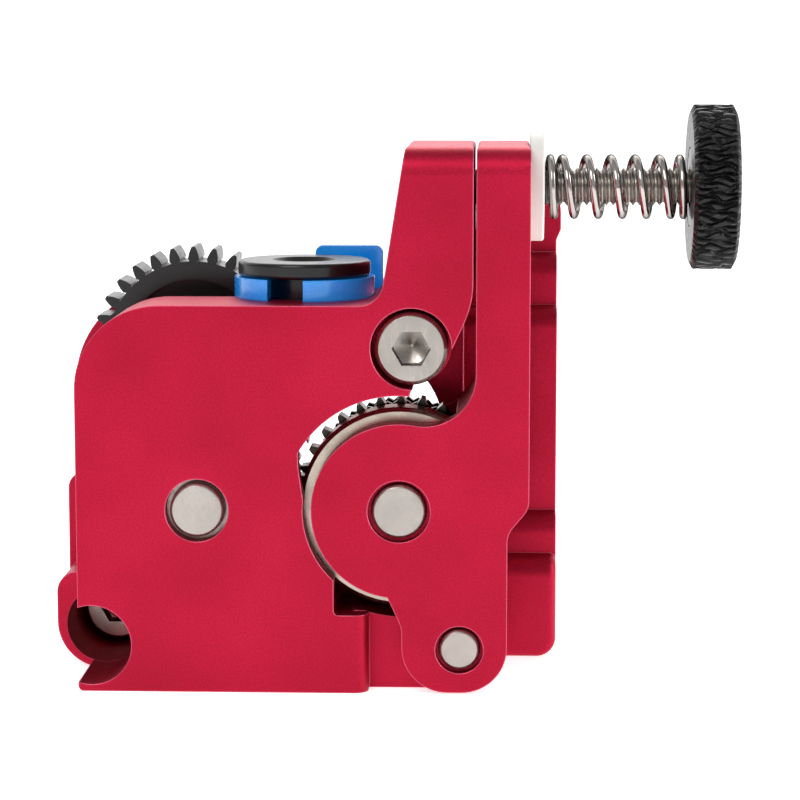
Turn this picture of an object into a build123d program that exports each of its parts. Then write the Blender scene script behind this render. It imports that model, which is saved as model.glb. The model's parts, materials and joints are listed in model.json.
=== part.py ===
from build123d import *
from math import acos, atan2, cos, degrees, hypot, pi, radians, sin, sqrt, tan
import os

# Dual-drive filament extruder for a NEMA 17 motor, all lengths in mm.
# +X is across, +Y is back towards the motor, +Z is up.  The origin is the centre
# of the motor pilot bore in the mounting face, so the front face is at Y = -DEPTH.
# "Depth" below always means the distance behind that front face.

DEPTH = 24.0

# axes that run front to back: (x, z)
MOTOR = (0.0, 0.0)
DRIVE = (-7.5, -5.25)
IDLER = (7.5, -5.25)
PIVOT = (12.0, -15.65)
HOUSING_SCREW = (8.4, 6.85)
WINDOW = (3.4, -1.2)
MOTOR_HOLE = 15.5

# gears
MODULE = 0.5
PRESSURE_ANGLE = 20.0
DRIVE_TEETH = 30
PINION_TEETH = 13
MOTOR_TEETH = 12
BACKLASH = 0.09

# filament path and tension screw: depth behind the front face, and height
PATH = 8.3
TENSION_Z = 18.35

# housing
LEFT = -16.5
BASE = -19.0
TOP = 10.0
TOWER_TOP = 21.6
TOWER_RIGHT = 12.95
SPLIT_LEFT = 7.4
SPLIT = 12.3
CORE_LEFT = -4.2
BAR_DEPTH = 14.5
FLANGE_LEFT = -19.1
FLANGE_RIGHT = 19.4
FLANGE_DEPTH = 20.0
SEAT_DEPTH = 17.0

# depth stations
SKIN = 1.7
GEARS = (4.9, 6.7)
HOBS = (6.9, 9.7)
BIG_GEAR = (12.6, 16.8)
CHAMBER = (SPLIT, 17.1)
CHEEK_FRONT = 1.9
CHEEK_REAR = (10.3, 12.1)
PIVOT_BLOCK = (2.0, 10.2)
IDLER_POCKET = 10.3
GRUB_DEPTH = 10.88
SCREW_HEAD = 0.3

# radii
GEAR_POCKET = 8.3
OPENING_WIDE = 8.63
OPENING_NARROW = 7.13
LOBE = 6.53
SHAFT_R = 2.0
SHAFT_HOLE_R = 2.06
THREAD_R = 1.45
THREAD_HOLE_R = 1.5
HEAD_R = 2.7
HEAD_HEIGHT = 3.0
COUNTERBORE_R = 3.0
PILOT_R = 11.0
WINDOW_R = 7.2

# tension group along X
ARM_LEFT = 13.17
ARM_RIGHT = 17.13
WASHER_T = 1.05
KNOB = (29.15, 32.6)
KNOB_R = 6.2


def compound_axis():
    """Axis of the compound gear, in mesh with both the motor pinion and the drive gear."""
    to_motor = MODULE * (MOTOR_TEETH + DRIVE_TEETH) / 2
    to_drive = MODULE * (PINION_TEETH + DRIVE_TEETH) / 2
    span = hypot(*DRIVE)
    along = (to_motor ** 2 - to_drive ** 2 + span ** 2) / (2 * span)
    off = sqrt(to_motor ** 2 - along ** 2)
    ux = DRIVE[0] / span
    uz = DRIVE[1] / span
    return (along * ux + off * uz, along * uz - off * ux)


COMPOUND = compound_axis()


# ---- helpers -------------------------------------------------------------

def outline(*corners):
    """Face in the XZ plane through corners given as (x, z) or (x, z, corner radius)."""
    points = [Vector(c[0], 0, c[1]) for c in corners]
    turns = []
    for i, corner in enumerate(corners):
        here = points[i]
        if len(corner) == 2:
            turns.append((here, None, here))
            continue
        radius = corner[2]
        to_last = (points[i - 1] - here).normalized()
        to_next = (points[(i + 1) % len(points)] - here).normalized()
        half = acos(to_last.dot(to_next)) / 2
        reach = radius / tan(half)
        bisector = (to_last + to_next).normalized()
        middle = here + bisector * (radius / sin(half) - radius)
        turns.append((here + to_last * reach, middle, here + to_next * reach))
    edges = []
    for i, (start, middle, end) in enumerate(turns):
        edges.append(Line(turns[i - 1][2], start))
        if middle:
            edges.append(ThreePointArc(start, middle, end))
    return Face(Wire(edges))


def slab(face, front, back):
    """Extrude a face of the XZ plane between two depths."""
    return Pos(0, front - DEPTH, 0) * extrude(face, amount=back - front, dir=(0, 1, 0))


def block(x, z, depth):
    """Box between the given limits."""
    return Pos((x[0] + x[1]) / 2, (depth[0] + depth[1]) / 2 - DEPTH, (z[0] + z[1]) / 2) * Box(
        x[1] - x[0], depth[1] - depth[0], z[1] - z[0]
    )


def disc(axis, radius, front, back):
    """Cylinder about a front-to-back axis."""
    rod = Cylinder(radius, back - front, align=(Align.CENTER, Align.CENTER, Align.MIN))
    return Pos(axis[0], front - DEPTH, axis[1]) * Rot(-90, 0, 0) * rod


def cone(axis, radius_front, radius_back, front, back):
    """Cone frustum about a front-to-back axis."""
    taper = Cone(radius_front, radius_back, back - front, align=(Align.CENTER, Align.CENTER, Align.MIN))
    return Pos(axis[0], front - DEPTH, axis[1]) * Rot(-90, 0, 0) * taper


def upright(radius, low, high):
    """Cylinder on the filament path."""
    rod = Cylinder(radius, high - low, align=(Align.CENTER, Align.CENTER, Align.MIN))
    return Pos(0, PATH - DEPTH, low) * rod


def across(radius, left, right):
    """Cylinder on the tension screw's axis."""
    rod = Cylinder(radius, right - left, align=(Align.CENTER, Align.CENTER, Align.MIN))
    return Pos(left, PATH - DEPTH, TENSION_Z) * Rot(0, 90, 0) * rod


def involute(angle):
    return tan(angle) - angle


def gear_face(axis, teeth, phase, slack=BACKLASH):
    """Spur gear outline whose tooth centres stand at phase + k x 360 / teeth degrees."""
    pitch = MODULE * teeth / 2
    base = pitch * cos(radians(PRESSURE_ANGLE))
    tip = pitch + MODULE
    root = pitch - 1.25 * MODULE
    form = max(base, root) + 0.02
    half_pitch = (pi * MODULE / 2 - slack) / (2 * pitch) + involute(radians(PRESSURE_ANGLE))

    def half(radius):
        return half_pitch - involute(acos(min(1.0, base / radius)))

    def at(radius, angle):
        return Vector(axis[0] + radius * cos(angle), 0, axis[1] + radius * sin(angle))

    undercut = 0.75 if form > root + 0.1 else 1.0
    step = 2 * pi / teeth
    edges = []
    for k in range(teeth):
        centre = radians(phase) + k * step
        middle = (form + tip) / 2
        rising = [at(root, centre - half(form) * undercut), at(form, centre - half(form)),
                  at(middle, centre - half(middle)), at(tip, centre - half(tip))]
        falling = [at(tip, centre + half(tip)), at(middle, centre + half(middle)),
                   at(form, centre + half(form)), at(root, centre + half(form) * undercut)]
        edges.append(Line(rising[0], rising[1]))
        edges.append(ThreePointArc(rising[1], rising[2], rising[3]))
        edges.append(Line(rising[3], falling[0]))
        edges.append(ThreePointArc(falling[0], falling[1], falling[2]))
        edges.append(Line(falling[2], falling[3]))
        edges.append(Line(falling[3], at(root, centre + step - half(form) * undercut)))
    return Face(Wire(edges))


def hob(axis):
    """Serrated wheel with a round groove that grips the filament."""
    teeth = 60
    tip = 7.4
    root = 7.15
    points = []
    for k in range(teeth * 2):
        radius = tip if k % 2 else root
        angle = pi * k / teeth
        points.append((axis[0] + radius * cos(angle), axis[1] + radius * sin(angle)))
    wheel = slab(outline(*points), *HOBS)
    groove = Pos(axis[0], PATH - DEPTH, axis[1]) * Rot(90, 0, 0) * Torus(7.75, 0.95)
    return wheel - groove


def ball_bearing(axis, bore, outer, front, back):
    """Shielded bearing as (outer ring, inner ring, balls)."""
    ball = (outer - bore) * 0.3
    middle = (outer + bore) / 2
    centre = (front + back) / 2
    land = 0.28 * (outer - bore)
    race = Pos(axis[0], centre - DEPTH, axis[1]) * Rot(90, 0, 0) * Torus(middle, ball + 0.01)
    ring = disc(axis, outer, front, back) - disc(axis, outer - land, front - 1, back + 1) - race
    for face in (front + 0.1, back - 0.35):
        shield = disc(axis, outer - land + 0.05, face, face + 0.25)
        ring += shield - disc(axis, bore + land + 0.08, face - 1, face + 1)
    inner = disc(axis, bore + land, front, back) - disc(axis, bore, front - 1, back + 1) - race
    balls = []
    count = int(2 * pi * middle / (2 * ball) * 0.85)
    for k in range(count):
        angle = 2 * pi * k / count
        x = axis[0] + middle * cos(angle)
        z = axis[1] + middle * sin(angle)
        balls.append(Pos(x, centre - DEPTH, z) * Sphere(ball))
    return ring, inner, balls


def socket_screw(axis, head_top, length):
    """M3 socket head cap screw pointing back, its thread drawn as a plain shank."""
    seat = head_top + HEAD_HEIGHT
    screw = disc(axis, HEAD_R, head_top, seat)
    screw = chamfer(screw.faces().sort_by(Axis.Y)[0].edges(), 0.3)
    screw += disc(axis, THREAD_R, seat, seat + length - 0.4)
    screw += cone(axis, THREAD_R, THREAD_R - 0.35, seat + length - 0.4, seat + length)
    key = [(axis[0] + 1.44 * cos(radians(60 * k)), axis[1] + 1.44 * sin(radians(60 * k))) for k in range(6)]
    screw -= slab(outline(*key), head_top - 0.1, head_top + 1.5)
    screw -= cone(axis, 1.3, 0.1, head_top + 1.5, head_top + 2.1)
    return screw


def pin(axis, radius, front, back, bevel=0.2):
    """Plain ground pin with bevelled ends."""
    rod = disc(axis, radius, front, back)
    return chamfer(rod.edges().filter_by(GeomType.CIRCLE), bevel)


def brow(left, right, radius=2.0):
    """Cutter that rounds the front top edge of the tower or of the arm."""
    corner = block((left, right), (TOWER_TOP - radius, TOWER_TOP + 1), (-1, radius))
    rod = Cylinder(radius, right - left + 2, align=(Align.CENTER, Align.CENTER, Align.MIN))
    return corner - Pos(left - 1, radius - DEPTH, TOWER_TOP - radius) * Rot(0, 90, 0) * rod


def soften(solid, edges, radius, tool=chamfer):
    """Break the given edges, one at a time where the whole set is refused."""
    try:
        return tool(edges, radius)
    except Exception:
        return solid


# ---- front housing -------------------------------------------------------

def front_profile():
    """Front view of the block, with the tower that carries the tension screw."""
    return outline(
        (LEFT, BASE, 0.4),
        (5.2, BASE),
        (5.2, -13.1),
        (2.65, -13.1, 0.35),
        (2.65, -8.0),
        (8.3, -5.0),
        (8.3, 3.65),
        (11.3, 6.6),
        (TOWER_RIGHT, 10.2, 7.0),
        (TOWER_RIGHT, TOWER_TOP, 0.3),
        (7.95, TOWER_TOP, 0.3),
        (6.1, TOP, 1.85),
        (LEFT, TOP, 6.3),
    )


def arm_opening(front, back):
    """Room for the arm's lobe, wide above the idler and narrow beside it."""
    above = outline((0.05, 8.0), (0.05, -1.9), (0.4, -4.4), (IDLER[0], IDLER[1]), (20.0, -5.0), (20.0, 8.0))
    wide = disc(IDLER, OPENING_WIDE, front, back) & slab(above, front, back)
    return wide + disc(IDLER, OPENING_NARROW, front, back)


def make_front_housing():
    profile = front_profile()
    body = slab(profile, 0, SPLIT)
    body -= brow(5, TOWER_RIGHT + 1)
    inset = outline((LEFT, BASE - 1), (CORE_LEFT, BASE - 1), (CORE_LEFT, 8.8), (LEFT, 8.8, 6.0))
    shoulder = block((LEFT - 1, CORE_LEFT), (BASE - 1, TOP + 1), (SPLIT_LEFT, SPLIT + 1))
    body -= shoulder - slab(inset, SPLIT_LEFT - 1, SPLIT + 2)
    body -= block((LEFT - 1, -11.8), (BASE - 1, -11.3), (SPLIT_LEFT, SPLIT + 1))
    tower = slab(profile, SPLIT - 0.5, BAR_DEPTH) & block((6.35, 14), (TOP + 0.05, 22), (0, 20))
    body += tower
    body += disc(HOUSING_SCREW, COUNTERBORE_R - 0.05, SCREW_HEAD + HEAD_HEIGHT, SPLIT)

    body -= arm_opening(-1, SPLIT + 1)
    body -= disc(IDLER, OPENING_WIDE, SKIN, IDLER_POCKET)
    knuckle = outline((4.0, BASE), (15.3, BASE, 3.2), (15.3, -13.1, 1.5), (4.0, -13.1))
    body += slab(knuckle, *PIVOT_BLOCK)
    body -= disc(IDLER, GEAR_POCKET, SKIN, IDLER_POCKET)
    step = body.edges().filter_by(Axis.Z).filter_by_position(Axis.X, 5.1, 5.3)
    body = soften(body, step.filter_by_position(Axis.Y, -DEPTH - 0.1, -DEPTH + 0.1), 1.05, fillet)
    body -= disc(PIVOT, 1.5, -1, SPLIT)

    body -= disc(DRIVE, GEAR_POCKET, GEARS[0] - 0.2, SPLIT + 1)
    body -= disc(DRIVE, 4.0, 1.4, GEARS[0])
    body -= disc(DRIVE, 2.35, -1, 2)
    body -= disc(COMPOUND, 4.0, GEARS[0] - 0.3, SPLIT + 1)
    body -= disc(COMPOUND, 3.0, 2.1, GEARS[0])
    body -= disc(COMPOUND, 1.8, 1.7, 3)

    body -= disc(HOUSING_SCREW, COUNTERBORE_R, -1, SCREW_HEAD + HEAD_HEIGHT)
    body -= disc(HOUSING_SCREW, 1.6, 0, SPLIT + 1)
    corner = (-MOTOR_HOLE, -MOTOR_HOLE)
    body -= disc(corner, COUNTERBORE_R, -1, SPLIT)
    body -= block((LEFT - 1, -MOTOR_HOLE), (-17.4, -12.9), (-1, SPLIT))
    for axis in DOWELS:
        body -= disc(axis, 1.25, SPLIT - 4, SPLIT + 1)

    body -= upright(5.42, TOP, TOP + 1.7)
    body -= upright(3.75, 6.2, TOP + 1)
    body -= upright(3.5, 3.6, 6.3)
    body -= upright(2.1, 2.2, 4)
    body -= upright(1.1, -3, 3)
    body -= upright(1.1, BASE - 1, -8)
    body -= upright(2.1, BASE - 1, BASE + 5)

    body -= across(1.6, 6, 14)
    body -= block((9.15, 11.65), (TENSION_Z - 2.8, TENSION_Z + 2.8), (PATH - 3.2, BAR_DEPTH + 1))
    return body


# ---- rear housing --------------------------------------------------------

def make_rear_housing():
    chamber = outline((-16.2, BASE, 0.5), (12.0, BASE), (12.0, TOP, 1.0), (-16.2, TOP, 6.0))
    strip = outline((FLANGE_LEFT, BASE, 3.6), (-12.0, BASE), (-12.0, -4.4), (FLANGE_LEFT, -4.4, 1.3))
    boss_left = FLANGE_LEFT - 0.15
    lobe = outline((boss_left, BASE, 3.7), (-12.0, BASE), (-12.0, -11.4), (boss_left, -11.4, 1.6))
    middle = outline(
        (FLANGE_LEFT, BASE, 3.6), (FLANGE_RIGHT, BASE, 1.5), (FLANGE_RIGHT, 8.5, 0.4),
        (12.0, 8.5), (12.0, TOP), (FLANGE_LEFT, TOP, 7.9),
    )
    flange = outline(
        (FLANGE_LEFT, BASE, 3.6), (FLANGE_RIGHT, BASE, 1.5), (FLANGE_RIGHT, 13.5, 0.5), (19.75, 14.3, 0.5),
        (19.75, 19.75, 4.2), (11.3, 19.75, 4.2), (11.3, TOP, 1.5), (FLANGE_LEFT, TOP, 7.9),
    )
    body = slab(chamber, SPLIT, CHAMBER[1] + 0.1)
    body += slab(strip, 12.6, CHAMBER[1] + 0.1)
    body += slab(lobe, SPLIT_LEFT, CHAMBER[1] + 0.1)
    body += slab(middle, CHAMBER[1], FLANGE_DEPTH)
    column = outline((11.9, BASE), (FLANGE_RIGHT, BASE, 1.5), (FLANGE_RIGHT, 8.5), (11.9, 8.5))
    column = slab(column, 15.5, FLANGE_DEPTH - 1)
    lower = outline((11.9, BASE), (FLANGE_RIGHT, BASE, 1.5), (FLANGE_RIGHT, -7.7), (11.9, -7.7))
    lower = slab(lower, 13.9, 16)
    foot = outline((11.9, BASE), (FLANGE_RIGHT, BASE, 1.5), (FLANGE_RIGHT, -10.9), (11.9, -10.9))
    foot = slab(foot, SPLIT, 14.5)
    upper = block((11.9, FLANGE_RIGHT), (8.0, 12.5), (17.5, FLANGE_DEPTH + 1))
    for ledge, radius in ((column, 1.6), (lower, 1.6), (foot, 1.6), (upper, 1.6)):
        edge = ledge.edges().filter_by(Axis.X).group_by(Axis.Z)[-1].sort_by(Axis.Y)[0]
        body += fillet(edge, radius)
    body += slab(flange, FLANGE_DEPTH, DEPTH)

    uprights = body.edges().filter_by(Axis.Z)
    for edge in uprights.filter_by_position(Axis.X, FLANGE_RIGHT - 0.01, FLANGE_RIGHT + 0.01):
        if edge.center().Y < FLANGE_DEPTH - DEPTH + 0.1 and edge.length > 1.5:
            body = soften(body, edge, 0.6, fillet)

    body -= disc(DRIVE, GEAR_POCKET, SPLIT_LEFT - 1, SPLIT)
    body -= disc(COMPOUND, 8.5, *CHAMBER)
    body -= block((-17.5, -1.5), (TOP - 3, TOP + 5), CHAMBER)
    body -= disc(DRIVE, 3.4, SPLIT - 0.1, 18)
    body -= disc(DRIVE, 4.0, CHAMBER[1] + 0.1, 20.2)
    body -= disc(COMPOUND, 3.0, CHAMBER[1] - 0.1, 20.0)
    body -= disc(COMPOUND, 1.8, 20, 20.6)
    body -= disc(DRIVE, 2.4, 20, 20.7)
    body -= disc(MOTOR, 4.1, SPLIT - 1, DEPTH + 1)
    body -= disc(WINDOW, WINDOW_R, SPLIT - 1, DEPTH + 1)
    body -= disc(MOTOR, PILOT_R, DEPTH - 2.0, DEPTH + 1)

    for x, z, seat in MOTOR_SCREWS:
        body -= disc((x, z), COUNTERBORE_R, 0, seat)
        body -= disc((x, z), 1.65, seat - 1, DEPTH + 1)
    body -= disc(HOUSING_SCREW, THREAD_HOLE_R, SPLIT - 1, 21.5)
    for axis in DOWELS:
        body -= disc(axis, 1.25, 0, SPLIT + 4)
    return body


# ---- idler arm -----------------------------------------------------------

def make_idler_arm():
    neck = 3.8
    lobe = disc(IDLER, LOBE, 0, CHEEK_REAR[1])
    spine = outline(
        (ARM_LEFT, TOWER_TOP, 0.3),
        (ARM_LEFT, 0.5),
        (IDLER[0], -4.0),
        (6.6, -11.6, 0.6),
        (7.7, -14.0, 2.5),
        (7.7, BASE + 0.1, 3.4),
        (15.54, BASE + 0.1, 3.4),
        (15.54, -6.9, 1.7),
        (ARM_RIGHT, -5.0, 1.7),
        (ARM_RIGHT, TOWER_TOP, 0.3),
    )
    body = slab(spine, 0, CHEEK_REAR[1]) + lobe
    fillet_z = IDLER[1] + sqrt((LOBE + neck) ** 2 - (ARM_LEFT - neck - IDLER[0]) ** 2)
    centre = (ARM_LEFT - neck, fillet_z)
    gusset = outline((ARM_LEFT + 0.1, fillet_z), (ARM_LEFT + 0.1, -1.0), (IDLER[0], -1.0), (8.6, 1.1), centre)
    body += slab(gusset, 0, CHEEK_REAR[1])
    body -= disc(centre, neck, -1, DEPTH)
    bar = outline(
        (ARM_LEFT, 11.0), (ARM_RIGHT, 11.0), (ARM_RIGHT, TOWER_TOP, 0.3), (ARM_LEFT, TOWER_TOP, 0.3),
    )
    body += slab(bar, CHEEK_REAR[1] - 1, BAR_DEPTH)
    body -= brow(ARM_LEFT - 1, ARM_RIGHT + 1)
    pocket = outline((-2.0, BASE - 1), (18.0, BASE - 1), (18.0, -5.25), (-2.0, -5.25))
    body -= slab(pocket, CHEEK_FRONT, IDLER_POCKET)
    body -= disc(IDLER, GEAR_POCKET, CHEEK_FRONT, IDLER_POCKET)
    body -= disc(IDLER, SHAFT_HOLE_R, -1, DEPTH)
    body -= disc(PIVOT, 1.55, -1, DEPTH)
    body -= disc(IDLER, 2.32, -1, 0.9)
    body -= disc(PIVOT, 1.78, -1, 0.9)
    slot = across(1.8, 12, 18)
    body -= Pos(0, 0, 0.75) * slot
    body -= Pos(0, 0, -0.35) * slot
    body -= block((12, 18), (TENSION_Z - 0.35, TENSION_Z + 0.75), (PATH - 1.8, PATH + 1.8))
    return body


# ---- fasteners and pins --------------------------------------------------

# dowels between the two housings, half in each
DOWELS = ((-9.0, -16.3), (3.4, -16.3))
# motor screws: x, z and depth of the head's seat
MOTOR_SCREWS = (
    (-MOTOR_HOLE, -MOTOR_HOLE, SEAT_DEPTH),
    (MOTOR_HOLE, MOTOR_HOLE, FLANGE_DEPTH),
)


def motor_screw(hole, length):
    x, z, seat = hole
    return socket_screw((x, z), seat - HEAD_HEIGHT, length)


def make_nut():
    """M3 hexagon nut in the tower, across the tension screw."""
    flats = 5.5
    hexagon = extrude(Plane.YZ * RegularPolygon(flats / 2, 6, major_radius=False), 2.4)
    nut = Pos(9.2, PATH - DEPTH, TENSION_Z) * hexagon
    return nut - across(THREAD_HOLE_R, 8, 13)


# ---- drive train ---------------------------------------------------------

def make_drive_wheel():
    wheel = slab(gear_face(DRIVE, DRIVE_TEETH, 0), *GEARS)
    wheel += disc(DRIVE, 6.9, GEARS[0] + 0.5, HOBS[1] - 0.5)
    wheel += hob(DRIVE)
    wheel += disc(DRIVE, 4.3, HOBS[1] - 0.5, 12.0)
    wheel -= disc(DRIVE, SHAFT_R, 0, DEPTH)
    x, z = DRIVE
    drill = Cylinder(1.05, 10, align=(Align.CENTER, Align.CENTER, Align.MIN))
    return wheel - Pos(x, GRUB_DEPTH - DEPTH, z) * Rot(180, 0, 0) * drill


def make_grub_screw():
    x, z = DRIVE
    rod = Cylinder(1.0, 2.5, align=(Align.CENTER, Align.CENTER, Align.MIN))
    rod -= Pos(0, 0, 1.4) * extrude(RegularPolygon(0.6, 6), 2)
    return Pos(x, GRUB_DEPTH - DEPTH, z - 1.6) * Rot(180, 0, 0) * rod


def make_drive_shaft():
    shaft = pin(DRIVE, SHAFT_R, 0.1, 20.2)
    x, z = DRIVE
    flat = block((x - 3, x + 3), (z - 3, z - 1.6), (9.8, 12.0))
    return shaft - flat


def pinion_phase():
    """Turn the pinion so that one of its gaps takes the drive gear's nearest tooth."""
    dx = COMPOUND[0] - DRIVE[0]
    dz = COMPOUND[1] - DRIVE[1]
    toward = degrees(atan2(dz, dx))
    pitch = 360 / DRIVE_TEETH
    past = toward - pitch * round(toward / pitch)
    gap = toward + 180 + past * DRIVE_TEETH / PINION_TEETH
    return gap + 180 / PINION_TEETH


def make_pinion_shaft():
    body = pin(COMPOUND, 1.5, 2.2, 20.0)
    body += slab(gear_face(COMPOUND, PINION_TEETH, pinion_phase()), GEARS[0] - 0.1, GEARS[1] + 0.1)
    return body + disc(COMPOUND, 2.4, GEARS[1], BIG_GEAR[0] - 0.2)


def make_compound_gear():
    gear = slab(gear_face(COMPOUND, DRIVE_TEETH, 6), *BIG_GEAR)
    gear -= disc(COMPOUND, 5.4, BIG_GEAR[0] - 1, BIG_GEAR[0] + 1.2)
    gear -= disc(COMPOUND, 5.4, BIG_GEAR[1] - 1.2, BIG_GEAR[1] + 1)
    gear += disc(COMPOUND, 3.2, BIG_GEAR[0] - 0.2, BIG_GEAR[1] + 0.2)
    return gear - disc(COMPOUND, 1.5, 0, DEPTH)


# ---- idler ---------------------------------------------------------------

def make_idler_wheel():
    wheel = slab(gear_face(IDLER, DRIVE_TEETH, 180 / DRIVE_TEETH), *GEARS)
    wheel += disc(IDLER, 6.9, GEARS[0] - 0.3, HOBS[1] - 0.5)
    ring = disc(IDLER, 7.5, 2.1, GEARS[0] - 0.2)
    wheel += chamfer(ring.edges().filter_by(GeomType.CIRCLE), 0.3)
    wheel += hob(IDLER)
    wheel += disc(IDLER, 4.0, HOBS[1] - 0.5, 10.15)
    wheel -= disc(IDLER, 3.16, 2.7, 9.6)
    return wheel - disc(IDLER, 2.3, 0, DEPTH)


def make_needle_rollers():
    """Full set of rollers between the idler wheel and its shaft."""
    count = 13
    middle = 2.58
    rollers = []
    for k in range(count):
        angle = 2 * pi * k / count
        axis = (IDLER[0] + middle * cos(angle), IDLER[1] + middle * sin(angle))
        rollers.append(disc(axis, 0.55, 2.8, 9.5))
    return rollers


# ---- tension group -------------------------------------------------------

def make_tension_screw():
    return across(THREAD_R, 8.8, KNOB[1] - 0.6)


def make_thumb_knob():
    knob = chamfer(across(KNOB_R, *KNOB).edges(), 0.55)
    knob -= across(3.05, KNOB[0] - 1, KNOB[0] + 0.42)
    return knob - across(THREAD_R, KNOB[0] - 1, KNOB[1] - 0.6)


def make_knob_washer():
    return across(2.9, KNOB[0] + 0.02, KNOB[0] + 0.42) - across(1.55, KNOB[0] - 1, KNOB[0] + 1)


def make_spring_washer():
    washer = across(4.1, ARM_RIGHT, ARM_RIGHT + WASHER_T)
    washer = chamfer(washer.edges().group_by(Axis.X)[-1], 0.12)
    return washer - across(2.2, ARM_RIGHT - 1, ARM_RIGHT + 2)


def make_spring():
    """Compression spring with one closed coil at each end."""
    wire = 0.3
    coil = 2.15
    start = ARM_RIGHT + WASHER_T + wire
    length = KNOB[0] + 0.02 - wire - start
    turns = 7.0
    closed = 1.0
    closed_pitch = 2 * wire + 0.04
    open_pitch = (length - 2 * closed * closed_pitch) / (turns - 2 * closed)
    path = []
    steps = 14
    for k in range(int(turns * steps) + 1):
        turn = k / steps
        early = min(turn, closed)
        late = max(0.0, turn - (turns - closed))
        x = start + (early + late) * closed_pitch + (turn - early - late) * open_pitch
        angle = 2 * pi * turn
        path.append((x, PATH - DEPTH + coil * cos(angle), TENSION_Z + coil * sin(angle)))
    line = Spline(*path)
    section = Plane(origin=line @ 0, z_dir=line % 0) * Circle(wire)
    return sweep(section, path=line)


# ---- tube fitting --------------------------------------------------------

COLLET_FLANGE = (11.6, 12.8)


def make_tube_collet():
    stem = 2.85
    collet = upright(5.05, *COLLET_FLANGE)
    collet = fillet(collet.edges().filter_by(GeomType.CIRCLE), 0.3)
    collet += upright(stem, 4.4, 12)
    barb = Cone(stem, 3.35, 1.0, align=(Align.CENTER, Align.CENTER, Align.MIN))
    collet += Pos(0, PATH - DEPTH, 4.4) * barb
    collet += upright(3.35, 5.4, 5.9)
    collet -= upright(2.1, 0, 14)
    mouth = Cone(2.1, 2.45, 0.35, align=(Align.CENTER, Align.CENTER, Align.MIN))
    collet -= Pos(0, PATH - DEPTH, COLLET_FLANGE[1] - 0.35) * mouth
    for k in range(2):
        cut = Box(0.7, 12, 3.6, align=(Align.CENTER, Align.CENTER, Align.MIN))
        collet -= Pos(0, PATH - DEPTH, 4.2) * Rot(0, 0, 45 + 90 * k) * cut
    return collet


def make_collet_ring():
    ring = upright(3.75, 6.2, TOP - 0.1) - upright(2.95, 6, 11)
    return ring


def make_collet_clip():
    """Horseshoe that holds the collet up, with a thumb tab at its back right."""
    low, high = TOP, COLLET_FLANGE[0] - 0.02
    clip = upright(5.35, low, high) - upright(2.9, low - 1, high + 1)
    clip -= Pos(-1.1, PATH - DEPTH - 5, (low + high) / 2) * Box(2.7, 10, 5)
    tab = Pos(3.1, PATH - DEPTH + 6.15, low + 1.73) * Box(5.3, 1.5, 3.45)
    tab = fillet(tab.edges().filter_by(Axis.Y), 0.6)
    bridge = Pos(2.6, PATH - DEPTH + 4.9, (low + high) / 2) * Box(3.6, 2.2, high - low)
    bridge -= upright(2.9, low - 1, high + 1)
    gear_room = block((-6.0, -1.6), (low - 1, high + 1), (SPLIT + 0.1, BIG_GEAR[1]))
    return clip - gear_room + bridge + tab


# ---- write the parts -----------------------------------------------------

def bearings(sets):
    """Collect several bearings as outer rings, inner rings and balls."""
    outers, inners, balls = [], [], []
    for axis, bore, outer, front, back in sets:
        ring, inner, set_of_balls = ball_bearing(axis, bore, outer, front, back)
        outers.append(ring)
        inners.append(inner)
        balls.extend(set_of_balls)
    return outers, inners, balls


drive_rings, drive_inners, drive_balls = bearings(
    ((DRIVE, 2.0, 4.0, 1.4, 4.4), (DRIVE, 2.0, 4.0, 17.2, 20.2))
)
pinion_rings, pinion_inners, pinion_balls = bearings(
    ((COMPOUND, 1.5, 3.0, 2.1, 4.6), (COMPOUND, 1.5, 3.0, 17.5, 20.0))
)

PARTS = {
    "front_housing": [make_front_housing()],
    "rear_housing": [make_rear_housing()],
    "idler_arm": [make_idler_arm()],
    "drive_shaft": [make_drive_shaft()],
    "drive_wheel": [make_drive_wheel()],
    "drive_grub_screw": [make_grub_screw()],
    "drive_bearing_outer_rings": drive_rings,
    "drive_bearing_inner_rings": drive_inners,
    "drive_bearing_balls": drive_balls,
    "compound_gear": [make_compound_gear()],
    "pinion_shaft": [make_pinion_shaft()],
    "pinion_bearing_outer_rings": pinion_rings,
    "pinion_bearing_inner_rings": pinion_inners,
    "pinion_bearing_balls": pinion_balls,
    "idler_wheel": [make_idler_wheel()],
    "idler_needle_rollers": make_needle_rollers(),
    "idler_shaft": [pin(IDLER, SHAFT_R, 0.1, CHEEK_REAR[1])],
    "pivot_pin": [pin(PIVOT, 1.5, 0.1, CHEEK_REAR[1])],
    "tension_screw": [make_tension_screw()],
    "tension_nut": [make_nut()],
    "thumb_knob": [make_thumb_knob()],
    "knob_washer": [make_knob_washer()],
    "spring_washer": [make_spring_washer()],
    "tension_spring": [make_spring()],
    "tube_collet": [make_tube_collet()],
    "collet_ring": [make_collet_ring()],
    "collet_clip": [make_collet_clip()],
    "housing_screw": [socket_screw(HOUSING_SCREW, SCREW_HEAD, 16)],
    "motor_screw_lower": [motor_screw(MOTOR_SCREWS[0], 10)],
    "motor_screw_upper": [motor_screw(MOTOR_SCREWS[1], 8)],
    "dowel_pins": [pin(axis, 1.25, SPLIT - 4, SPLIT + 4) for axis in DOWELS],
}

os.makedirs("parts", exist_ok=True)
for name, solids in PARTS.items():
    shape = solids[0] if len(solids) == 1 else Compound(children=solids)
    export_step(shape, f"parts/{name}.step")
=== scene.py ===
import json
from math import cos, pi, radians, sin, tau

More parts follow.
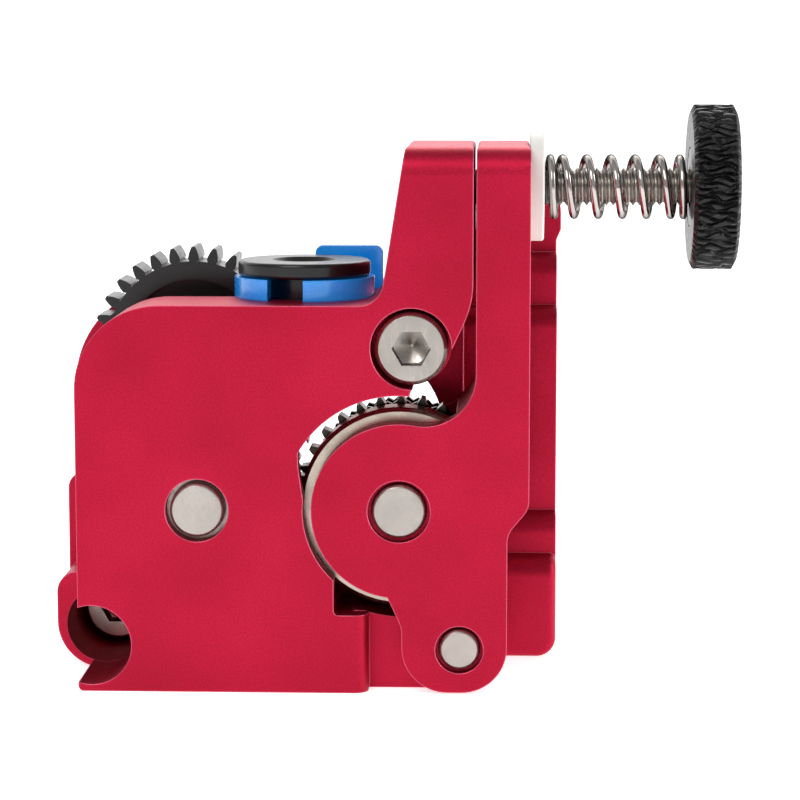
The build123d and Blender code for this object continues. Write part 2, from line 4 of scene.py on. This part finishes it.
import bpy
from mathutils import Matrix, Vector


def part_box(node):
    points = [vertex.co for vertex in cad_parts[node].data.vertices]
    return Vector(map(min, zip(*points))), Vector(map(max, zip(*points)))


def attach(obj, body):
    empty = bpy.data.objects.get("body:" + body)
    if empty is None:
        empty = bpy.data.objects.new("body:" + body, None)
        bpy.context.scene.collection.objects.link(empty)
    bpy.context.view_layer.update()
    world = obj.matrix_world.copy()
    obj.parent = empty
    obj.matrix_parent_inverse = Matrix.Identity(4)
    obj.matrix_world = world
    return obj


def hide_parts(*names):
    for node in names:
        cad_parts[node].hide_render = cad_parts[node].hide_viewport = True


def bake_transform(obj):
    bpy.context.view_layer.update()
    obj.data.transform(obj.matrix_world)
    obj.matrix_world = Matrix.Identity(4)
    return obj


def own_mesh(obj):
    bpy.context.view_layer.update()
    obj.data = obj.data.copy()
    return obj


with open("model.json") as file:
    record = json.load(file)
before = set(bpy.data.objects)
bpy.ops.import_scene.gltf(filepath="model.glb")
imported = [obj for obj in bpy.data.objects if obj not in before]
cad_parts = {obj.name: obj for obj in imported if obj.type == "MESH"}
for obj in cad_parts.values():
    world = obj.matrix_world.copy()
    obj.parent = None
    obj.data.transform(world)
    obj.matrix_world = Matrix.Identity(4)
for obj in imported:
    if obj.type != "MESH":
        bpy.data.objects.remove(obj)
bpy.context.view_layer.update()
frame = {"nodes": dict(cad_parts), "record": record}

MM = 0.001
FLOOR_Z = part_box("front_housing")[0].z
FRONT_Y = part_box("front_housing")[0].y

# the idler wheel's turned flange ends this far behind the front face; behind it the wheel is painted
# dark as shade
WHEEL_FLANGE_DEPTH = 4.75 * MM

# compression spring
SPRING_TURNS = 7.0
WIRE_RADIUS = 0.3 * MM
CLOSED_PITCH = 2 * WIRE_RADIUS + 0.04 * MM

# stud thread
THREAD_PITCH = 0.5 * MM
THREAD_DEPTH = 0.28 * MM

# thumb knob
KNOB_BEVEL = 0.55 * MM
KNOB_RECESS = 0.42 * MM
KNURLS = 52
KNURL_LENGTH = 2.9 * MM
KNURL_DEPTH = 0.36 * MM

# camera and studio
LENS = 119.3
EYE = Vector((15.1 * MM, FRONT_Y - 193 * MM, 28.7 * MM))
TARGET = Vector((7.6 * MM, FRONT_Y, 3.1 * MM))
WORLD_LIGHT = 0.4
FLOOR_GLOW = 0.7
FLOOR_WIDTH = 6.0
FLOOR_FRONT = -2.0
SWEEP_START = 0.9
SWEEP_RADIUS = 0.6
SWEEP_STEPS = 16
SWEEP_TOP = 3.0


# ---- materials -----------------------------------------------------------

def linear(red, green, blue):
    """Linear colour from 0-255 screen values."""
    out = []
    for value in (red, green, blue):
        part = value / 255
        out.append(part / 12.92 if part <= 0.04045 else ((part + 0.055) / 1.055) ** 2.4)
    return (*out, 1.0)


class Look:
    """A material under construction: its node tree and its Principled shader."""

    def __init__(self, name, colour, metallic, roughness):
        self.material = bpy.data.materials.new(name)
        self.material.use_nodes = True
        self.nodes = self.material.node_tree.nodes
        self.links = self.material.node_tree.links
        self.shader = self.nodes["Principled BSDF"]
        self.set("Base Color", colour)
        self.set("Metallic", metallic)
        self.set("Roughness", roughness)
        coordinates = self.nodes.new("ShaderNodeTexCoord")
        self.place = coordinates.outputs["Object"]
        self.normal = None

    def set(self, socket, value):
        self.shader.inputs[socket].default_value = value

    def noise(self, scale, detail=2.0, stretch=(1, 1, 1)):
        """Noise with its features squeezed along each axis by stretch."""
        mapping = self.nodes.new("ShaderNodeMapping")
        mapping.inputs["Scale"].default_value = stretch
        self.links.new(self.place, mapping.inputs["Vector"])
        texture = self.nodes.new("ShaderNodeTexNoise")
        texture.inputs["Scale"].default_value = scale
        texture.inputs["Detail"].default_value = detail
        self.links.new(mapping.outputs["Vector"], texture.inputs["Vector"])
        return texture.outputs["Fac"]

    def spread(self, value, low, high, start=0.3, end=0.7):
        """Map start-end on to low-high."""
        node = self.nodes.new("ShaderNodeMapRange")
        node.inputs["From Min"].default_value = start
        node.inputs["From Max"].default_value = end
        node.inputs["To Min"].default_value = low
        node.inputs["To Max"].default_value = high
        self.links.new(value, node.inputs["Value"])
        return node.outputs["Result"]

    def mix(self, first, second, share, mode="MIX"):
        """Mix two colours, each a value or another node's output; the result is the base colour."""
        node = self.nodes.new("ShaderNodeMix")
        node.data_type = "RGBA"
        node.blend_type = mode
        for socket, source in (("A", first), ("B", second), ("Factor", share)):
            if isinstance(source, bpy.types.NodeSocket):
                self.links.new(source, node.inputs[socket])
            else:
                node.inputs[socket].default_value = source
        self.links.new(node.outputs["Result"], self.shader.inputs["Base Color"])
        return node.outputs["Result"]

    def grey(self, value):
        """A grey colour of the given brightness."""
        node = self.nodes.new("ShaderNodeCombineColor")
        for channel in ("Red", "Green", "Blue"):
            self.links.new(value, node.inputs[channel])
        return node.outputs["Color"]

    def rough(self, value, low, high):
        self.links.new(self.spread(value, low, high), self.shader.inputs["Roughness"])

    def round_edges(self, radius):
        """Broken edges a fraction of a millimetre wide."""
        bevel = self.nodes.new("ShaderNodeBevel")
        bevel.samples = 6
        bevel.inputs["Radius"].default_value = radius
        self.normal = bevel.outputs["Normal"]
        self.links.new(self.normal, self.shader.inputs["Normal"])

    def edge_mask(self, strength):
        """High where the rounded normal leaves the flat one, so along edges."""
        geometry = self.nodes.new("ShaderNodeNewGeometry")
        dot = self.nodes.new("ShaderNodeVectorMath")
        dot.operation = "DOT_PRODUCT"
        self.links.new(geometry.outputs["Normal"], dot.inputs[0])
        self.links.new(self.normal, dot.inputs[1])
        return self.spread(dot.outputs["Value"], 1.0, 0.0, 1.0 - strength, 0.995)

    def bump(self, value, strength, distance):
        node = self.nodes.new("ShaderNodeBump")
        node.inputs["Strength"].default_value = strength
        node.inputs["Distance"].default_value = distance
        self.links.new(value, node.inputs["Height"])
        if self.normal:
            self.links.new(self.normal, node.inputs["Normal"])
        self.normal = node.outputs["Normal"]
        self.links.new(self.normal, self.shader.inputs["Normal"])


def red_anodised():
    """Bead-blasted red anodising, with a painted highlight along the broken edges."""
    dark = linear(172, 20, 50)
    light = linear(188, 25, 59)
    # edge is the colour of the painted highlight along the broken edges
    edge = linear(245, 118, 148)
    look = Look("red_anodised", light, 0.85, 0.42)
    look.round_edges(0.16 * MM)
    painted_edge_highlight = look.edge_mask(0.2)
    blast = look.noise(7000, 3.0)
    cloud = look.noise(120, 3.0)
    base = look.mix(dark, light, look.spread(cloud, 0.0, 1.0))
    grain = look.grey(look.spread(blast, 0.80, 1.16))
    speckled = look.mix(base, grain, 1.0, "MULTIPLY")
    # the painted edge highlight goes over the speckled base
    look.mix(speckled, edge, painted_edge_highlight)
    look.rough(blast, 0.38, 0.52)
    look.bump(blast, 0.25, 0.03 * MM)
    return look.material


def steel(name, colour, roughness, grain=(1, 1, 1), edge=0.1, rim=0.8):
    """Ground or turned steel; grain stretches the scratches, rim darkens grazing angles."""
    shade = (*(0.8 * part for part in colour[:3]), 1.0)
    look = Look(name, colour, 1.0, roughness)
    look.round_edges(edge * MM)
    scratches = look.noise(4000, 4.0, grain)
    patches = look.noise(300, 2.0)
    look.mix(shade, colour, look.spread(patches, 0.0, 1.0))
    look.rough(scratches, roughness - 0.06, roughness + 0.1)
    look.bump(scratches, 0.15, 0.01 * MM)
    look.set("Specular Tint", (rim, rim, rim, 1.0))
    return look.material


def wheel_steel():
    """Hardened wheel: bright turned flange in front, teeth behind it painted dark for the shade
    inside the housing.
    """
    bright = linear(176, 166, 154)
    # painted shade for the teeth that sit deep in the housing
    shaded_teeth = linear(60, 56, 52)
    look = Look("wheel_steel", bright, 1.0, 0.24)
    look.round_edges(0.05 * MM)
    axes = look.nodes.new("ShaderNodeSeparateXYZ")
    look.links.new(look.place, axes.inputs["Vector"])
    flange_back = FRONT_Y + WHEEL_FLANGE_DEPTH
    # the painted shade starts just behind the flange
    painted_shade_behind_flange = look.spread(axes.outputs["Y"], 0.0, 1.0, flange_back, flange_back + 0.05 * MM)
    look.mix(bright, shaded_teeth, painted_shade_behind_flange)
    turned = look.noise(2600, 3.0, (0.2, 3, 0.2))
    look.rough(turned, 0.18, 0.34)
    look.bump(turned, 0.35, 0.02 * MM)
    return look.material


def polymer(name, dark, light, roughness, grain, edge=0.12, coat=0.0, gloss=0.5, glow=0.0):
    """Moulded plastic with a fine texture; glow stands for light passing through it."""
    look = Look(name, light, 0.0, roughness)
    look.round_edges(edge * MM)
    skin = look.noise(2500, 3.0)
    flow = look.noise(150, 2.0)
    look.mix(dark, light, look.spread(flow, 0.0, 1.0))
    look.rough(skin, roughness - 0.05, roughness + 0.08)
    look.bump(skin, grain, 0.02 * MM)
    look.set("Specular IOR Level", gloss)
    look.set("Emission Color", light)
    look.set("Emission Strength", glow)
    look.set("Coat Weight", coat)
    look.set("Coat Roughness", 0.12)
    return look.material


LOOKS = {
    "red_anodised": red_anodised(),
    "steel": steel("steel", linear(184, 177, 171), 0.34, (1, 0.1, 1), 0.15),
    "hardened_steel": steel("hardened_steel", linear(150, 140, 130), 0.28, (1, 0.05, 1), 0.05),
    "wheel_steel": wheel_steel(),
    "stainless_screw": steel("stainless_screw", linear(176, 169, 163), 0.3, (1, 1, 0.2), rim=0.4),
    "spring_steel": steel("spring_steel", linear(196, 190, 186), 0.14, edge=0.03, rim=0.1),
    "black_polymer": polymer(
        "black_polymer", linear(9, 9, 10), linear(16, 16, 18), 0.34, 0.1, coat=0.25, gloss=0.35
    ),
    "black_knob": polymer(
        "black_knob", linear(8, 8, 8), linear(14, 14, 15), 0.3, 0.2, edge=0.04, gloss=0.35
    ),
    "blue_polymer": polymer(
        "blue_polymer", linear(0, 140, 250), linear(6, 160, 255), 0.24, 0.04, 0.2, 0.8, glow=0.1
    ),
    "white_nylon": polymer(
        "white_nylon", linear(230, 229, 224), linear(242, 241, 236), 0.5, 0.1
    ),
}


def finish_with(piece, name):
    piece.data.materials.clear()
    piece.data.materials.append(LOOKS[name])


# ---- pieces made here ----------------------------------------------------

def mesh_piece(name, points, faces, slot, body, node, smooth):
    """Object that stands for a CAD node; it rides on body, or on nothing where no body is given."""
    mesh = bpy.data.meshes.new(name)
    mesh.from_pydata(points, [], faces)
    mesh.validate()
    piece = bpy.data.objects.new(name, mesh)
    bpy.context.collection.objects.link(piece)
    finish_with(piece, slot)
    mesh.shade_smooth()
    bpy.context.view_layer.objects.active = piece
    piece.select_set(True)
    bpy.ops.object.shade_smooth_by_angle(angle=radians(smooth))
    piece.select_set(False)
    if body:
        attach(piece, body)
    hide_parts(node)
    return piece


def tube_faces(rings, around):
    """Faces of a closed tube of rings, with both ends capped."""
    faces = []
    for i in range(rings - 1):
        for k in range(around):
            n = (k + 1) % around
            here = i * around
            there = here + around
            faces.append((here + k, there + k, there + n, here + n))
    faces.append(tuple(range(around)))
    faces.append(tuple(reversed(range((rings - 1) * around, rings * around))))
    return faces


def turned(centre, stations, around, radius_at):
    """Points of a part turned about the X axis through centre; a station is (x, plain radius)."""
    points = []
    for x, base in stations:
        for k in range(around):
            angle = tau * k / around
            r = radius_at(x, angle, base)
            points.append((x, centre[0] + r * cos(angle), centre[1] + r * sin(angle)))
    return points


def tension_axis():
    """(y, z) of the tension screw's axis."""
    low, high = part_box("tension_screw")
    return ((low.y + high.y) / 2, (low.z + high.z) / 2)


def make_stud():
    """M3 stud with a real helical thread and a tapered first turn."""
    low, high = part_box("tension_screw")
    crest = (high.z - low.z) / 2
    rings_per_pitch = 8
    around = 56
    count = int((high.x - low.x) / THREAD_PITCH * rings_per_pitch)
    stations = [(low.x + (high.x - low.x) * i / count, crest) for i in range(count + 1)]

    def radius_at(x, angle, base):
        wave = ((x - low.x) / THREAD_PITCH - angle / tau) % 1.0
        flank = min(1.0, 1.35 * abs(2 * wave - 1))
        taper = min(1.0, (x - low.x) / (1.2 * THREAD_PITCH) + 0.4)
        return (base - THREAD_DEPTH * flank) * taper

    points = turned(tension_axis(), stations, around, radius_at)
    faces = tube_faces(len(stations), around)
    mesh_piece("threaded_stud", points, faces, "stainless_screw", "thumb_screw", "tension_screw", 50)


def make_knob():
    """Thumb knob: chamfered disc with a coarse, wavy diamond knurl."""
    low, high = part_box("thumb_knob")
    washer_low, washer_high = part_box("knob_washer")
    width = high.x - low.x
    outer = (high.z - low.z) / 2 - 0.005 * MM
    shoulder = outer - KNOB_BEVEL
    flat = shoulder - 0.12 * MM
    recess = (washer_high.z - washer_low.z) / 2 + 0.12 * MM
    core = 0.3 * MM
    rows = 46
    around = 612
    profile = [(low.x + KNOB_RECESS, core), (low.x + KNOB_RECESS, recess), (low.x, recess)]
    profile += [(low.x, flat), (low.x, shoulder)]
    for i in range(rows + 1):
        x = low.x + KNOB_BEVEL * 0.45 + (width - 0.9 * KNOB_BEVEL) * i / rows
        inset = max(0.0, KNOB_BEVEL * 0.55 - min(x - low.x, high.x - x)) * 0.9
        profile.append((x, outer - inset))
    profile += [(high.x, shoulder), (high.x, flat)]
    profile += [(high.x, outer * 0.5), (high.x, core)]

    def radius_at(x, angle, base):
        if base < outer - KNOB_BEVEL * 0.98:
            return base
        around_knob = angle * KNURLS / tau
        along = (x - low.x) / KNURL_LENGTH + 0.25 * sin(7 * angle) + 0.2 * sin(17 * angle + 1.0)
        drift = 0.16 * sin(3.1 * (x - low.x) / MM + 9 * angle)
        rising = abs((around_knob + along + drift) % 1 - 0.5)
        falling = abs((around_knob - along + drift) % 1 - 0.5)
        groove = max(0.0, 1.0 - 1.8 * 2 * min(rising, falling))
        fade = min(1.0, min(x - low.x, high.x - x) / (0.3 * MM))
        return base - KNURL_DEPTH * groove * fade

    points = turned(tension_axis(), profile, around, radius_at)
    faces = tube_faces(len(profile), around)
    mesh_piece("knurled_knob", points, faces, "black_knob", "thumb_screw", "thumb_knob", 45)


def coil(name, first, last, body=None):
    """Part of the compression spring, between two counts of turns from the washer."""
    low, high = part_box("tension_spring")
    centre = tension_axis()
    radius = (high.z - low.z) / 2 - WIRE_RADIUS
    start = low.x + WIRE_RADIUS
    length = high.x - low.x - 2 * WIRE_RADIUS
    open_pitch = (length - 2 * CLOSED_PITCH) / (SPRING_TURNS - 2)
    steps = int((last - first) * 48)
    around = 16
    path = []
    for k in range(steps + 1):
        turn = first + (last - first) * k / steps
        closed = min(turn, 1.0) + max(0.0, turn - (SPRING_TURNS - 1))
        x = start + closed * CLOSED_PITCH + (turn - closed) * open_pitch
        out = Vector((0, cos(tau * turn), sin(tau * turn)))
        path.append((Vector((x, *centre)) + out * radius, out))
    points = []
    for k, (middle, out) in enumerate(path):
        along = (path[min(k + 1, steps)][0] - path[max(k - 1, 0)][0]).normalized()
        side = out.cross(along).normalized()
        for n in range(around):
            angle = tau * n / around
            points.append(middle + WIRE_RADIUS * (cos(angle) * out + sin(angle) * side))
    faces = tube_faces(steps + 1, around)
    return mesh_piece(name, points, faces, "spring_steel", body, "tension_spring", 60)


def make_spring():
    """Two half springs: the half at the washer rides on the housing body, the half at the knob is
    baked in place on no body.
    """
    half = SPRING_TURNS / 2
    arm_half = coil("spring_arm_half", 0.0, half, "housing")
    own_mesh(arm_half)
    knob_half = coil("spring_knob_half", half, SPRING_TURNS)
    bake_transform(knob_half)


# ---- CAD nodes shown as they are -----------------------------------------

slots = {part["node"]: part["material_slot"] for part in frame["record"]["subparts"]}
for node, piece in frame["nodes"].items():
    finish_with(piece, "wheel_steel" if node in ("idler_wheel", "drive_wheel") else slots[node])

make_stud()
make_knob()
make_spring()


# ---- stage ---------------------------------------------------------------

def floor_look():
    """Matt white that stays white where it is far from the lights."""
    look = Look("floor", (0.9, 0.9, 0.9, 1.0), 0.0, 0.8)
    grain = look.noise(60, 3.0)
    look.mix((0.89, 0.89, 0.89, 1.0), (0.91, 0.91, 0.91, 1.0), look.spread(grain, 0.0, 1.0))
    look.set("Specular IOR Level", 0.1)
    look.set("Emission Color", (1, 1, 1, 1))
    look.set("Emission Strength", FLOOR_GLOW)
    return look.material


def make_floor():
    """White sweep: a floor that curves up into a backdrop."""
    level = FLOOR_Z - 0.02 * MM
    profile = [(FLOOR_FRONT, level)]
    for k in range(SWEEP_STEPS + 1):
        angle = pi / 2 * k / SWEEP_STEPS
        y = SWEEP_START + SWEEP_RADIUS * sin(angle)
        z = level + SWEEP_RADIUS * (1 - cos(angle))
        profile.append((y, z))
    profile.append((SWEEP_START + SWEEP_RADIUS, SWEEP_TOP))
    points = []
    for y, z in profile:
        points.append((-FLOOR_WIDTH / 2, y, z))
        points.append((FLOOR_WIDTH / 2, y, z))
    faces = [(2 * k, 2 * k + 1, 2 * k + 3, 2 * k + 2) for k in range(len(profile) - 1)]
    mesh = bpy.data.meshes.new("floor")
    mesh.from_pydata(points, [], faces)
    mesh.shade_smooth()
    mesh.materials.append(floor_look())
    floor = bpy.data.objects.new("floor", mesh)
    bpy.context.collection.objects.link(floor)


def make_light(name, place, size, power):
    """Rectangular area light that faces the origin."""
    data = bpy.data.lights.new(name, "AREA")
    data.shape = "RECTANGLE"
    data.size, data.size_y = size
    data.energy = power
    light = bpy.data.objects.new(name, data)
    light.location = place
    light.rotation_euler = (-Vector(place)).to_track_quat("-Z", "Y").to_euler()
    bpy.context.collection.objects.link(light)


def make_world():
    world = bpy.data.worlds.new("studio")
    world.use_nodes = True
    background = world.node_tree.nodes["Background"]
    background.inputs["Color"].default_value = (1, 1, 1, 1)
    background.inputs["Strength"].default_value = WORLD_LIGHT
    bpy.context.scene.world = world


def make_camera():
    data = bpy.data.cameras.new("camera")
    data.lens = LENS
    data.sensor_width = 36.0
    data.clip_start = 0.01
    camera = bpy.data.objects.new("camera", data)
    camera.location = EYE
    camera.rotation_euler = (TARGET - EYE).to_track_quat("-Z", "Y").to_euler()
    bpy.context.collection.objects.link(camera)
    bpy.context.scene.camera = camera


make_floor()
make_world()
make_light("key", (-0.14, -0.34, 0.34), (0.24, 0.24), 0.9)
make_light("right", (0.36, -0.10, 0.12), (0.12, 0.30), 0.6)
make_light("back", (0.0, 0.30, 0.25), (0.3, 0.15), 0.4)
make_camera()
bpy.context.scene.view_settings.view_transform = "Standard"
